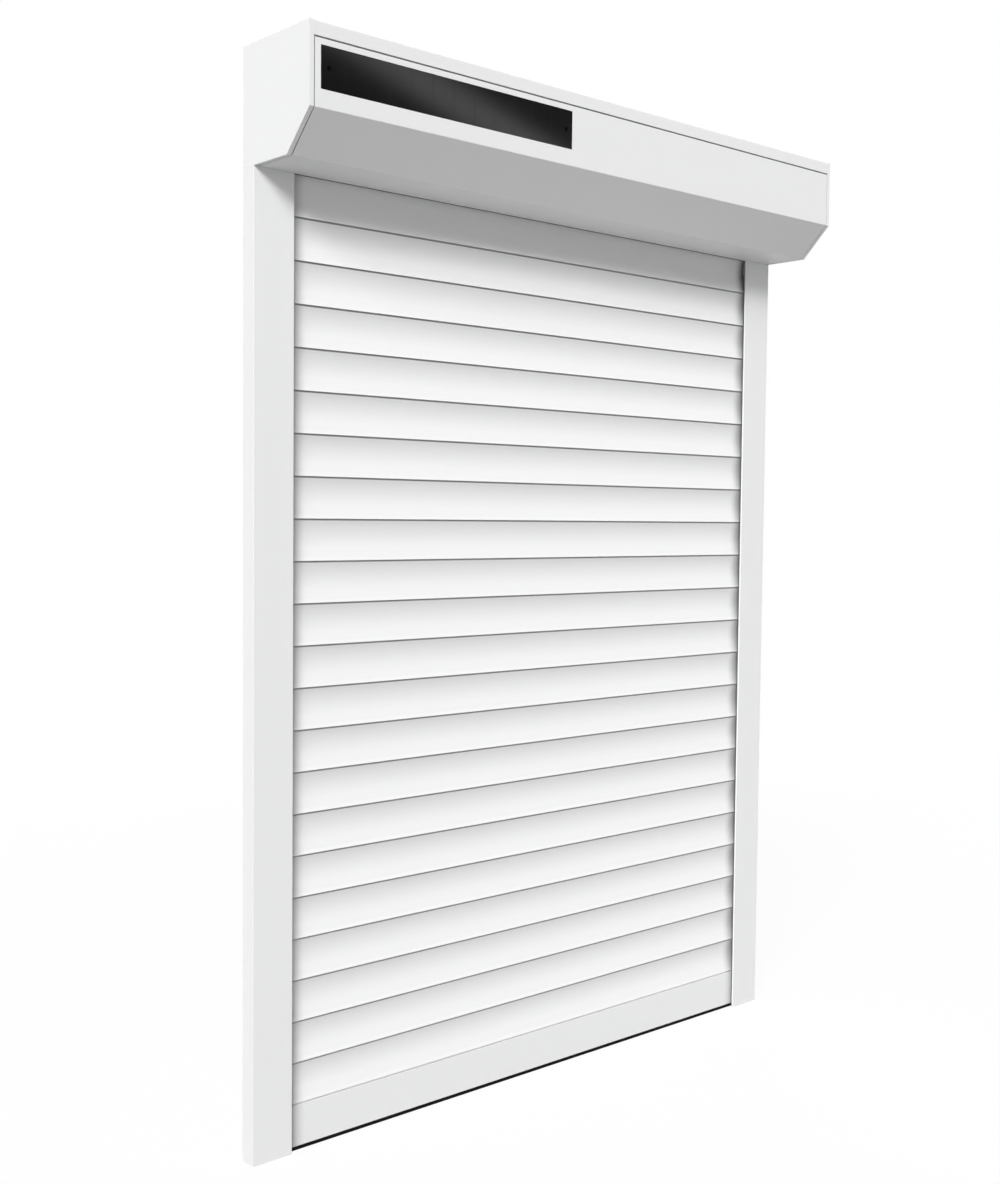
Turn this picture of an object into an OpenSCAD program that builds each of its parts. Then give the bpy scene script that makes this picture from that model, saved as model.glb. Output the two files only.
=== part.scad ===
// Exterior roller shutter with a solar panel in the front of its box
// Millimetres: X runs across, the wall is the plane Y = 0 with the outside at -Y, Z points up
// The origin is the middle of the four wall fixing holes in the guides

/* [Whole shutter] */
// Width over the guides and the box
shutter_w = 900; // [600:1:1600]
// Fixing screw hole diameter in the guide backs
fix_hole_d = 6; // [4:0.5:8]
// Height of the lower fixing holes above the sill
fix_low = 150; // [80:1:300]
// Distance between the lower and the upper fixing holes
fix_rise = 824; // [500:1:900]

/* [Box] */
// Depth of the box from the wall
box_d = 130; // [126:1:165]
// Height of the box
box_h = 132; // [128:1:165]
// Cut-off lower front edge, the same along both faces
box_cut = 43; // [30:0.5:46]
// Sheet thickness of both covers
sheet_t = 1.2; // [0.8:0.1:1.5]
// How far the top cover reaches down the front
lip_h = 15.5; // [12:0.5:18]
// Thickness of the end cap plate
cap_t = 5.5; // [4:0.5:8]
// Length of the end cap rim that carries the sheets
rim_l = 6; // [5:0.5:6.5]
// Length of the end cap tenon inside the guide
tenon_l = 50; // [30:1:80]

/* [Guides] */
// Width of a guide across its front
guide_w = 53; // [48:0.5:60]
// Depth of a guide from the wall
guide_d = 22; // [21.5:0.1:24]
// Wall thickness of the guide profiles
guide_t = 1.6; // [1.2:0.1:1.8]
// Width of the screw chamber beside the channel
chamber_w = 24; // [20:0.5:28]
// Width of the rubber lips
seal_w = 9; // [6:0.5:10]
// Length of the inlet plug inside the channel
inlet_l = 22; // [15:1:30]

/* [Curtain] */
// Cover height of one slat
slat_pitch = 48.7; // [46:0.1:52]
// Thickness of a slat shell
slat_t = 5; // [4.5:0.1:5.5]
// How far the hollow of the slat face lies behind its lower lip
slat_dip = 4.2; // [3.6:0.1:4.4]
// Where the hollow is deepest, as a share of the slat height from its top
slat_deep = 0.33; // [0.3:0.01:0.36]
// Depth of the slat's lower lip in front of the wall
slat_front = 16; // [15.5:0.1:16.4]
// Open joint between two slats
slat_gap = 1.6; // [1.2:0.1:2.2]
// Wall thickness of the slats and the bottom bar
slat_wall = 0.75; // [0.6:0.05:0.9]
// How far a slat reaches into each guide
slat_into = 22; // [18:0.5:23]
// Height of the bottom bar without its seal
bar_h = 50; // [40:0.5:60]
// Height of the rubber seal under the bottom bar
seal_h = 4.5; // [3:0.5:6]

/* [Drive] */
// Winding tube across its flats
tube_af = 40; // [38:0.5:44]
// Wall of the winding tube
tube_wall = 0.7; // [0.5:0.1:0.9]
// Diameter of the tubular motor
motor_d = 35; // [30:0.5:35.5]
// Length of the motor tube
motor_l = 432; // [300:1:500]
// Side of the bracket plates on the end caps
bracket_w = 64; // [56:1:72]
// Diameter of the idler pin
pin_d = 12; // [10:0.5:13]
// Outer diameter of the ball bearing
bearing_d = 28; // [26:0.5:32]
// Spacing of the three hangers along the tube
hanger_step = 280; // [150:1:320]
// Diameter of the battery pack
battery_d = 19; // [14:0.5:20]
// Length of the battery pack
battery_l = 420; // [250:1:440]

/* [Solar panel] */
// Width of the panel
panel_w = 366; // [200:1:420]
// Height of the panel
panel_h = 45; // [35:0.5:47]
// Distance of the panel from the left end of the box
panel_x = 14.5; // [12:0.5:40]
// Distance of the panel below the top of the box
panel_down = 24; // [24:0.5:28]
// Distance of the panel screws from the panel ends
panel_screw_in = 10; // [7:0.5:20]

/* [Fits] */
// Room between pieces that move past each other
clear = 0.35; // [0.3:0.05:0.5]
// Room between the curtain and the rubber lips
lip_clear = 0.4; // [0.3:0.05:0.6]
// Room between pieces that are pushed together
push = 0.1; // [0.05:0.05:0.15]

/* [Hidden] */
$fn = 64;
slat_n = 22;
sill_z = -(fix_low + fix_rise / 2);
bar_top = sill_z + seal_h + bar_h;
box_bottom = bar_top + slat_n * slat_pitch - slat_gap;
box_top = box_bottom + box_h;
cut_z = box_bottom + box_cut;
cut_y = box_d - box_cut;
half_w = shutter_w / 2;
inner_x = half_w - cap_t;
guide_in = half_w - guide_w;
slat_half = guide_in + slat_into;
slat_back = slat_front - slat_dip - slat_t;
chord = slat_pitch - slat_gap;
deep_z = (0.5 - slat_deep) * chord;
deep_low = (1 - slat_deep) * chord;
deep_top = slat_deep * chord;
face_r = (deep_low * deep_low + slat_dip * slat_dip) / (2 * slat_dip);
face_y = -(slat_front - slat_dip) - face_r;
top_front = face_y + sqrt(face_r * face_r - deep_top * deep_top);
low_back = face_y + sqrt((face_r + slat_t) * (face_r + slat_t) - deep_low * deep_low);
hook_r = 1.2;
pocket_r = hook_r + clear;
hook_y = low_back - slat_wall - pocket_r;
tongue_t = 1;
hook_up = 3;
fold_x = inner_x - rim_l - clear;
channel_front = guide_d - 2 * guide_t - push;
cover_back = channel_front + 0.3;
axis_y = -box_d / 2;
axis_z = box_bottom + box_h / 2;
tube_in = tube_af - 2 * tube_wall;
tube_x0 = -inner_x + 23.5;
tube_x1 = inner_x - 20.5;
head_x0 = -inner_x + 6;
head_x1 = -inner_x + 20.5;
motor_x1 = head_x1 + motor_l;
flange_r = tube_af / 2 + 1;
plug_l = 1.5 * tube_af;
pin_in = 0.75 * plug_l;
bearing_x = inner_x - 13.5;
bearing_w = 8;
ball_at = (pin_d + bearing_d) / 4;
ball_r = 0.31 * (bearing_d - pin_d) / 2;
bar_at = tube_af / 2 + 8;
strap_w = 18;
strap_t = 0.8;
clip_r = battery_d / 2 + 1.6;
pack_y = -(box_d - 2 * sheet_t - 1 - clip_r);
pack_z = box_top - sheet_t - clip_r - 0.2;
pack_x0 = -40;
panel_x0 = -half_w + panel_x;
panel_z1 = box_top - panel_down;
panel_z0 = panel_z1 - panel_h;
panel_t = 2;
tray_back = -box_d + panel_t + 1.6;
screw_at = bracket_w / 2 - 8;

// A section in the Y-Z plane drawn out along X
module across(x0, x1) {
  translate([x0, 0, 0])
    rotate([90, 0, 90])
      linear_extrude(x1 - x0)
        children();
}

// A rectangle between two corners
module rect(a, b) {
  translate(a)
    square(b - a);
}

// A block between two corners
module block(a, b) {
  translate(a)
    cube(b - a);
}

// A round bar along X, its axis at y, z
module bar_x(x0, x1, r, y, z) {
  translate([x0, y, z])
    rotate([0, 90, 0])
      cylinder(r = r, h = x1 - x0);
}

// A round bar along Y from y0 back to y1
module bar_y(y0, y1, r, x, z) {
  translate([x, y1, z])
    rotate([90, 0, 0])
      cylinder(r = r, h = y1 - y0);
}

// An eight-sided bar on the tube axis, a flat towards the wall
module octagon_x(x0, x1, af) {
  translate([x0, axis_y, axis_z])
    rotate([0, 90, 0])
      rotate(22.5)
        cylinder(r = af / 2 / cos(22.5), h = x1 - x0, $fn = 8);
}

// The same piece at both ends of the shutter
module both_ends() {
  children();
  mirror([1, 0, 0])
    children();
}

// A round lead through a list of points
module lead(points, r) {
  for (i = [0 : len(points) - 2]) {
    run = points[i + 1] - points[i];
    translate(points[i])
      rotate([0, acos(run.z / norm(run)), atan2(run.y, run.x)])
        cylinder(r = r, h = norm(run));
  }
  for (p = points)
    translate(p)
      sphere(r = 1.08 * r);
}

// Box outline moved inwards by d, as Y-Z points
function box_outline(d) = [
  [-d, box_bottom + d],
  [-d, box_top - d],
  [-(box_d - d), box_top - d],
  [-(box_d - d), cut_z + (sqrt(2) - 1) * d],
  [-(cut_y - (sqrt(2) - 1) * d), box_bottom + d]
];

// Flush casing screws: across the top and once through the back at each end
module casing_screw_places() {
  for (part = [0.3, 0.77])
    translate([inner_x - rim_l / 2, -part * box_d, box_top])
      children();
  translate([inner_x - rim_l / 2, 0, axis_z])
    rotate([-90, 0, 0])
      children();
}

module casing_screw(head_r, shank_r, length, above) {
  translate([0, 0, -sheet_t / 2])
    cylinder(r = head_r, h = sheet_t / 2 + above);
  translate([0, 0, -length])
    cylinder(r = shank_r, h = length);
}

// Rear and top cover: one bent sheet, its front lip doubled between the end cap rims to hold the front cover
module rear_top_cover() {
  lip_in = -box_d + sheet_t + clear;
  color("whitesmoke")
    difference() {
      union() {
        across(-inner_x + push, inner_x - push)
          polygon([
            [0, box_bottom],
            [0, box_top],
            [-box_d, box_top],
            [-box_d, box_top - lip_h],
            [-box_d + sheet_t, box_top - lip_h],
            [-box_d + sheet_t, box_top - sheet_t],
            [-sheet_t, box_top - sheet_t],
            [-sheet_t, box_bottom]
          ]);
        across(-fold_x, fold_x)
          polygon([
            [-box_d + sheet_t / 2, box_top - sheet_t / 2],
            [-box_d + sheet_t / 2, box_top - lip_h],
            [lip_in, box_top - lip_h],
            [lip_in, box_top - lip_h - 5],
            [lip_in + sheet_t, box_top - lip_h - 5],
            [lip_in + sheet_t, box_top - sheet_t / 2]
          ]);
      }
      both_ends()
        casing_screw_places()
          casing_screw(3 + push, 1.5 + push, 8, 1);
    }
}

// Four screw places on a bracket plate
module bracket_screw_places() {
  for (y = [-1, 1], z = [-1, 1])
    translate([0, axis_y + y * screw_at, axis_z + z * screw_at])
      children();
}

// Right end cap: plate, rim, tenon and blind screw holes; the left one is its mirror image
module end_cap() {
  rim_out = sheet_t + clear;
  rim_in = rim_out + 1.8;
  difference() {
    union() {
      across(inner_x, half_w)
        polygon(box_outline(0));
      across(inner_x - rim_l, inner_x)
        difference() {
          polygon(box_outline(rim_out));
          polygon(box_outline(rim_in));
          rect([-cover_back - 4, box_bottom - 1], [-rim_in, box_bottom + 9]);
        }
      block(
        [half_w - 12, -(guide_d - guide_t - 0.6), box_bottom - tenon_l],
        [half_w - guide_t - 0.6, -guide_t - 0.6, box_bottom]
      );
      block(
        [half_w - 12, -cover_back + clear, box_bottom - 1],
        [inner_x + 1, -rim_in - 0.5, box_bottom + 10]
      );
    }
    bracket_screw_places()
      translate([inner_x - 1, 0, 0])
        rotate([0, 90, 0])
          cylinder(r = 2.2 + push, h = 5);
    casing_screw_places()
      casing_screw(1.5 + push, 1.5 + push, 9, 0);
  }
}

module left_end_cap() {
  color("gainsboro")
    mirror([1, 0, 0])
      end_cap();
}

module right_end_cap() {
  color("gainsboro")
    end_cap();
}

module casing_screws() {
  color("silver")
    both_ends()
      casing_screw_places()
        casing_screw(3, 1.5, 7, 0);
}

// Right guide, base profile: back wall, web and the channel's front wall
module guide_base() {
  web_x = half_w - chamber_w;
  fold_y = -(guide_d - guide_t - push);
  difference() {
    translate([0, 0, sill_z])
      linear_extrude(box_bottom - clear - sill_z) {
        rect([guide_in, -guide_t], [half_w - guide_t - push, 0]);
        rect([web_x - guide_t, fold_y], [web_x, 0]);
        rect([guide_in + guide_t + push, fold_y], [web_x, fold_y + guide_t]);
        rect([web_x, -9], [web_x + 1, -8]);
      }
    for (z = [fix_low, fix_low + fix_rise / 2, fix_low + fix_rise])
      bar_y(-guide_t - 1, 1, fix_hole_d / 2, half_w - chamber_w / 2, sill_z + z);
  }
}

module left_guide_base() {
  color("lightgray")
    mirror([1, 0, 0])
      guide_base();
}

module right_guide_base() {
  color("lightgray")
    guide_base();
}

// Right guide, clip-on cover: outer side, front and a short return at the curtain
module guide_cover() {
  edge_r = 1.2;
  web_x = half_w - chamber_w;
  translate([0, 0, sill_z])
    linear_extrude(box_bottom - clear - sill_z) {
      difference() {
        union() {
          rect([guide_in + edge_r, -guide_d], [half_w - edge_r, -guide_d + edge_r]);
          rect([guide_in, -guide_d + edge_r], [half_w, 0]);
          for (x = [guide_in + edge_r, half_w - edge_r])
            translate([x, -guide_d + edge_r])
              circle(r = edge_r);
        }
        rect([guide_in + guide_t, -guide_d + guide_t], [half_w - guide_t, 1]);
        rect([guide_in - 1, -channel_front], [guide_in + guide_t + 1, 1]);
      }
      rect([web_x + push, -guide_d + guide_t - 0.1], [web_x + push + 1.4, -9.2]);
    }
}

module left_guide_cover() {
  color("white")
    mirror([1, 0, 0])
      guide_cover();
}

module right_guide_cover() {
  color("white")
    guide_cover();
}

module guide_seals() {
  seal_in = guide_in + guide_t + push + 1;
  color("dimgray")
    both_ends()
      translate([0, 0, sill_z])
        linear_extrude(box_bottom - inlet_l - 2 - sill_z) {
          rect([seal_in, -channel_front], [seal_in + seal_w, -slat_front - lip_clear]);
          rect([seal_in, -slat_back + lip_clear], [seal_in + seal_w, -guide_t]);
        }
}

// Funnels that lead the slats into the channels
module guide_inlets() {
  x0 = guide_in + 0.5;
  x1 = half_w - chamber_w - guide_t - 0.3;
  front_out = -channel_front + push;
  front_in = -slat_front - lip_clear;
  rear_in = -slat_back + lip_clear;
  rear_out = -guide_t - push;
  low = box_bottom - inlet_l;
  flare = box_bottom + 1.2 * inlet_l;
  color("darkgray")
    both_ends() {
      across(x0, x1) {
        polygon([
          [front_out, low],
          [front_in, low],
          [front_in, box_bottom + 6],
          [front_in - 8, flare],
          [front_out - 8, flare],
          [front_out, box_bottom + 7]
        ]);
        polygon([
          [rear_in, low],
          [rear_out, low],
          [rear_out, flare],
          [rear_out - 1.6, flare],
          [rear_in, box_bottom + 6]
        ]);
      }
      across(x1 - 2, x1)
        polygon([
          [front_out, low],
          [rear_out, low],
          [rear_out, flare],
          [front_out - 8, flare],
          [front_out, box_bottom + 7]
        ]);
    }
}

// A square bracket plate on the inside of an end cap, x going inwards from the right end cap
module bracket_plate() {
  difference() {
    block(
      [inner_x - 3, axis_y - bracket_w / 2, axis_z - bracket_w / 2],
      [inner_x, axis_y + bracket_w / 2, axis_z + bracket_w / 2]
    );
    bracket_screw_places()
      translate([inner_x - 4, 0, 0])
        rotate([0, 90, 0])
          cylinder(r = 2.2 + push, h = 5);
  }
}

module motor_bracket() {
  color("slategray")
    difference() {
      union() {
        mirror([1, 0, 0])
          bracket_plate();
        bar_x(-inner_x + 2, head_x0, 16, axis_y, axis_z);
      }
      block([-inner_x - 1, axis_y - 6, axis_z - 6], [head_x0 + 1, axis_y + 6, axis_z + 6]);
    }
}

module bearing_bracket() {
  color("slategray")
    difference() {
      union() {
        bracket_plate();
        bar_x(bearing_x - 1, inner_x - 2, bearing_d / 2 + 3.5, axis_y, axis_z);
      }
      bar_x(bearing_x - 2, bearing_x + bearing_w, bearing_d / 2 + push, axis_y, axis_z);
      bar_x(bearing_x, inner_x + 1, bearing_d / 2 - 2.5, axis_y, axis_z);
    }
}

module bracket_screws() {
  color("silver")
    both_ends()
      bracket_screw_places()
        translate([inner_x - 5.5, 0, 0])
          rotate([0, 90, 0]) {
            cylinder(r = 4, h = 2.5);
            cylinder(r = 2.2, h = 9);
          }
}

module motor_head() {
  color("darkslategray")
    union() {
      bar_x(head_x0, head_x1, tube_af / 2 - 1, axis_y, axis_z);
      block(
        [-inner_x + 1, axis_y - 6 + push, axis_z - 6 + push],
        [head_x0 + 1, axis_y + 6 - push, axis_z + 6 - push]
      );
    }
}

module motor_tube() {
  color("silver")
    difference() {
      bar_x(head_x1, motor_x1, motor_d / 2, axis_y, axis_z);
      bar_x(head_x1 + 4, motor_x1 - 4, motor_d / 2 - 3, axis_y, axis_z);
      bar_x(motor_x1 - 5, motor_x1 + 1, 6 + clear, axis_y, axis_z);
    }
}

// Output shaft: round through the motor end, then square in the drive wheel
module motor_output_shaft() {
  color("gray")
    union() {
      bar_x(motor_x1 - 20, motor_x1 + 4, 6, axis_y, axis_z);
      block([motor_x1 + 3, axis_y - 4, axis_z - 4], [motor_x1 + 26, axis_y + 4, axis_z + 4]);
    }
}

module winding_tube() {
  color("lightsteelblue")
    difference() {
      octagon_x(tube_x0, tube_x1, tube_af);
      octagon_x(tube_x0 - 1, tube_x1 + 1, tube_in);
    }
}

module motor_crown() {
  color("black")
    difference() {
      union() {
        octagon_x(tube_x0, tube_x0 + 18, tube_in - 2 * push);
        bar_x(tube_x0 - 2, tube_x0, flange_r, axis_y, axis_z);
      }
      bar_x(tube_x0 - 3, tube_x0 + 19, motor_d / 2 + clear, axis_y, axis_z);
    }
}

module drive_wheel() {
  color("black")
    difference() {
      octagon_x(motor_x1 + 4, motor_x1 + 24, tube_in - 2 * push);
      block(
        [motor_x1 + 2, axis_y - 4 - push, axis_z - 4 - push],
        [motor_x1 + 27, axis_y + 4 + push, axis_z + 4 + push]
      );
    }
}

module idler_plug() {
  color("black")
    difference() {
      union() {
        octagon_x(tube_x1 - plug_l, tube_x1, tube_in - 2 * push);
        bar_x(tube_x1, tube_x1 + 2.5, flange_r, axis_y, axis_z);
      }
      bar_x(tube_x1 - pin_in, tube_x1 + 3, pin_d / 2 + push, axis_y, axis_z);
    }
}

module idler_pin() {
  color("silver")
    bar_x(tube_x1 - pin_in, bearing_x + bearing_w + 1, pin_d / 2, axis_y, axis_z);
}

// A bearing ring about the tube axis, with the ball groove in it
module bearing_ring(r_in, r_out) {
  difference() {
    bar_x(bearing_x, bearing_x + bearing_w, r_out, axis_y, axis_z);
    bar_x(bearing_x - 1, bearing_x + bearing_w + 1, r_in, axis_y, axis_z);
    translate([bearing_x + bearing_w / 2, axis_y, axis_z])
      rotate([0, 90, 0])
        rotate_extrude()
          translate([ball_at, 0])
            circle(r = ball_r + push);
  }
}

module bearing_outer_ring() {
  color("silver")
    bearing_ring(ball_at + 0.4 * ball_r, bearing_d / 2);
}

module bearing_inner_ring() {
  color("silver")
    bearing_ring(pin_d / 2 + push / 2, ball_at - 0.4 * ball_r);
}

module bearing_balls() {
  color("gray")
    for (i = [0 : 7])
      translate([bearing_x + bearing_w / 2, axis_y, axis_z])
        rotate([i * 45, 0, 0])
          translate([0, ball_at, 0])
            sphere(r = ball_r);
}

// Hanger rings: clamped round the tube, each with two lugs and a cross bar towards the wall
module hanger_rings() {
  color("black")
    for (i = [-1 : 1])
      translate([i * hanger_step, 0, 0]) {
        difference() {
          bar_x(-15, 15, tube_af / 2 + 4, axis_y, axis_z);
          octagon_x(-16, 16, tube_af + 2 * push);
        }
        for (s = [-1, 1])
          translate([s * 12.5 - 2.5, 0, 0])
            difference() {
              union() {
                bar_x(0, 5, 3, axis_y + bar_at, axis_z);
                block(
                  [0, axis_y + tube_af / 2 + 2, axis_z - 3],
                  [5, axis_y + bar_at, axis_z + 3]
                );
              }
              bar_x(-1, 6, 1.9, axis_y + bar_at, axis_z);
            }
        bar_x(-15, 15, 1.9, axis_y + bar_at, axis_z);
      }
}

// Hanger straps: a clip open to the front on the ring's bar, a sprung strip, a clip on the top slat
module hanger_straps() {
  eye_y = axis_y + bar_at;
  hook_z = box_bottom + slat_gap + hook_up + slat_gap / 2;
  eye_in = 1.9 + clear;
  run = [hook_y - eye_y, hook_z - axis_z];
  color("steelblue")
    for (i = [-1 : 1])
      across(i * hanger_step - strap_w / 2, i * hanger_step + strap_w / 2)
        difference() {
          union() {
            translate([eye_y, axis_z])
              circle(r = eye_in + strap_t);
            translate([hook_y, hook_z])
              circle(r = pocket_r + strap_t);
            translate([eye_y, axis_z])
              rotate(atan2(run.y, run.x))
                rect([0, -strap_t / 2], [norm(run), strap_t / 2]);
          }
          translate([eye_y, axis_z])
            circle(r = eye_in);
          rect([eye_y - 6, axis_z - 1.2], [eye_y, axis_z + 1.2]);
          translate([hook_y, hook_z])
            circle(r = pocket_r);
          neck(hook_z - hook_up - slat_gap, clear);
        }
}

module battery_pack() {
  color("darkolivegreen")
    bar_x(pack_x0, pack_x0 + battery_l, battery_d / 2, pack_y, pack_z);
}

// Spring clips under the top of the box, open towards the back and down
module battery_clips() {
  color("black")
    for (x = [pack_x0 + 0.2 * battery_l, pack_x0 + 0.8 * battery_l])
      across(x - 7, x + 7)
        difference() {
          union() {
            translate([pack_y, pack_z])
              circle(r = clip_r);
            rect([pack_y - 8, pack_z + 4], [pack_y + 8, box_top - sheet_t]);
          }
          translate([pack_y, pack_z])
            circle(r = battery_d / 2 + push);
          translate([pack_y, pack_z])
            rotate(-45)
              rect([0, -battery_d / 2 + 1.5], [clip_r + 8, battery_d / 2 - 1.5]);
        }
}

module battery_lead() {
  x_in = -inner_x + 13;
  color("dimgray")
    lead([
      [pack_x0 - 2, pack_y, pack_z],
      [x_in, pack_y, pack_z],
      [x_in, axis_y - 14, axis_z + 16]
    ], 1.7);
}

// Front access cover: one bent sheet, its rear hem standing up between the end cap rims
module front_access_cover() {
  color("whitesmoke")
    difference() {
      union() {
        across(-inner_x + clear, inner_x - clear)
          polygon([
            [-box_d, box_top - lip_h - clear],
            [-box_d, cut_z],
            [-cut_y, box_bottom],
            [-cover_back, box_bottom],
            [-cover_back, box_bottom + sheet_t],
            [-(cut_y - (sqrt(2) - 1) * sheet_t), box_bottom + sheet_t],
            [-box_d + sheet_t, cut_z + (sqrt(2) - 1) * sheet_t],
            [-box_d + sheet_t, box_top - lip_h - clear]
          ]);
        across(-fold_x, fold_x)
          rect([-cover_back - sheet_t, box_bottom + sheet_t / 2], [-cover_back, box_bottom + 5]);
      }
      block(
        [panel_x0 - 0.4, -box_d - 1, panel_z0 - 0.4],
        [panel_x0 + panel_w + 0.4, -box_d + sheet_t + 1, panel_z1 + 0.4]
      );
    }
}

// Screw places near the two ends of the panel, at half height
module panel_screw_places() {
  for (x = [panel_x0 + panel_screw_in, panel_x0 + panel_w - panel_screw_in])
    translate([x, -box_d, (panel_z0 + panel_z1) / 2])
      rotate([-90, 0, 0])
        children();
}

module panel_screw(more, length, above) {
  translate([0, 0, -above])
    cylinder(r = 2.6 + more, h = 1 + above);
  cylinder(r = 1.4 + more, h = length);
}

module solar_panel() {
  color("black")
    difference() {
      block([panel_x0, -box_d, panel_z0], [panel_x0 + panel_w, -box_d + panel_t, panel_z1]);
      panel_screw_places()
        panel_screw(push, 6, 1);
    }
}

module solar_panel_tray() {
  rim = 2;
  color("darkslategray")
    difference() {
      block(
        [panel_x0 - rim, -box_d + sheet_t, panel_z0 - rim],
        [panel_x0 + panel_w + rim, tray_back, panel_z1 + rim]
      );
      block(
        [panel_x0 - push, -box_d, panel_z0 - push],
        [panel_x0 + panel_w + push, -box_d + panel_t, panel_z1 + push]
      );
      panel_screw_places()
        panel_screw(push, 6, 0);
    }
}

module solar_panel_screws() {
  color("dimgray")
    panel_screw_places()
      panel_screw(0, 3.5, 0);
}

module panel_connector() {
  color("dimgray")
    difference() {
      block([panel_x0, tray_back, axis_z + 5], [panel_x0 + 12, tray_back + 10, axis_z + 15]);
      block([panel_x0 + 2, tray_back + 4, axis_z + 7], [panel_x0 + 10, tray_back + 11, axis_z + 13]);
    }
}

// Charge lead: a moulded plug in the panel's connector and the lead to the motor head
module charge_lead() {
  plug_x = panel_x0 + 6;
  color("dimgray")
    union() {
      block(
        [panel_x0 + 2 + clear, tray_back + 4 + clear, axis_z + 7 + clear],
        [panel_x0 + 10 - clear, tray_back + 16, axis_z + 13 - clear]
      );
      lead([
        [plug_x, tray_back + 15, axis_z + 10],
        [plug_x, axis_y - 34, axis_z + 10],
        [plug_x, axis_y - 21, axis_z]
      ], 1.7);
    }
}

// A slat shell about its own mid height: curved band between two heights, its lower lip standing forward
module slat_band(inset, z0, z1) {
  intersection() {
    translate([face_y, deep_z])
      difference() {
        circle(r = face_r + slat_t - inset, $fn = 200);
        circle(r = face_r + inset, $fn = 200);
      }
    rect([-slat_front - 2, z0], [0, z1]);
  }
}

// The neck of a tongue standing on height z, leaning forward to the hook, with room on each side
module neck(z, room) {
  half = tongue_t / 2 + room;
  foot = top_front + tongue_t / 2;
  polygon([
    [foot - half, z - 0.5],
    [foot + half, z - 0.5],
    [hook_y + half, z + slat_gap + hook_up],
    [hook_y - half, z + slat_gap + hook_up]
  ]);
}

// The round-headed tongue that hooks into the piece above
module tongue(z) {
  neck(z, 0);
  translate([hook_y, z + slat_gap + hook_up])
    circle(r = hook_r);
}

// One slat, counted from the top: hollow, a tongue on top and a hooked groove below
module slat(i) {
  low = -chord / 2;
  color(i % 2 == 0 ? "white" : "whitesmoke")
    across(-slat_half, slat_half)
      translate([0, bar_top + (slat_n - i + 0.5) * slat_pitch]) {
        difference() {
          slat_band(0, low, -low);
          slat_band(slat_wall, low + hook_up + pocket_r + 1, -low - 1.2);
          translate([hook_y, low + hook_up])
            circle(r = pocket_r);
          neck(low - slat_gap, clear);
        }
        tongue(-low);
      }
}

module slat_01() slat(1);
module slat_02() slat(2);
module slat_03() slat(3);
module slat_04() slat(4);
module slat_05() slat(5);
module slat_06() slat(6);
module slat_07() slat(7);
module slat_08() slat(8);
module slat_09() slat(9);
module slat_10() slat(10);
module slat_11() slat(11);
module slat_12() slat(12);
module slat_13() slat(13);
module slat_14() slat(14);
module slat_15() slat(15);
module slat_16() slat(16);
module slat_17() slat(17);
module slat_18() slat(18);
module slat_19() slat(19);
module slat_20() slat(20);
module slat_21() slat(21);
module slat_22() slat(22);

// Bottom bar: flat hollow profile, tongue on top, groove for the seal below
module bottom_bar() {
  low = sill_z + seal_h;
  top = bar_top - slat_gap / 2;
  mid = -(slat_front + slat_back) / 2;
  color("white")
    across(-slat_half, slat_half) {
      difference() {
        rect([-slat_front, low], [-slat_back, top]);
        rect([-slat_front + 1.2, low + 6], [-slat_back - 1.2, top - 1.2]);
        rect([mid - 2.9, low + 1.4], [mid + 2.9, low + 4.2]);
        rect([mid - 1.5, low - 1], [mid + 1.5, low + 2]);
      }
      tongue(top);
    }
}

// Rubber seal: a foot in the bar's groove and a lip down to the sill
module bottom_seal() {
  low = sill_z + seal_h;
  mid = -(slat_front + slat_back) / 2;
  color("black")
    across(-slat_half, slat_half) {
      rect([mid - 2.7, low + 1.5], [mid + 2.7, low + 4]);
      rect([mid - 1.4, low - 1], [mid + 1.4, low + 2]);
      rect([-slat_front + 0.4, sill_z], [-slat_back - 0.4, low]);
    }
}

rear_top_cover();
left_end_cap();
right_end_cap();
casing_screws();
left_guide_base();
right_guide_base();
left_guide_cover();
right_guide_cover();
guide_seals();
guide_inlets();
motor_bracket();
bearing_bracket();
bracket_screws();
motor_head();
motor_tube();
bearing_outer_ring();
bearing_balls();
battery_pack();
battery_clips();
battery_lead();
charge_lead();
front_access_cover();
solar_panel();
solar_panel_tray();
solar_panel_screws();
panel_connector();
winding_tube();
motor_crown();
motor_output_shaft();
drive_wheel();
idler_plug();
idler_pin();
bearing_inner_ring();
hanger_rings();
hanger_straps();
slat_01();
slat_02();
slat_03();
slat_04();
slat_05();
slat_06();
slat_07();
slat_08();
slat_09();
slat_10();
slat_11();
slat_12();
slat_13();
slat_14();
slat_15();
slat_16();
slat_17();
slat_18();
slat_19();
slat_20();
slat_21();
slat_22();
bottom_bar();
bottom_seal();
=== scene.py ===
import math
import bmesh
import bpy
from mathutils import Matrix, Vector


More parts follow.
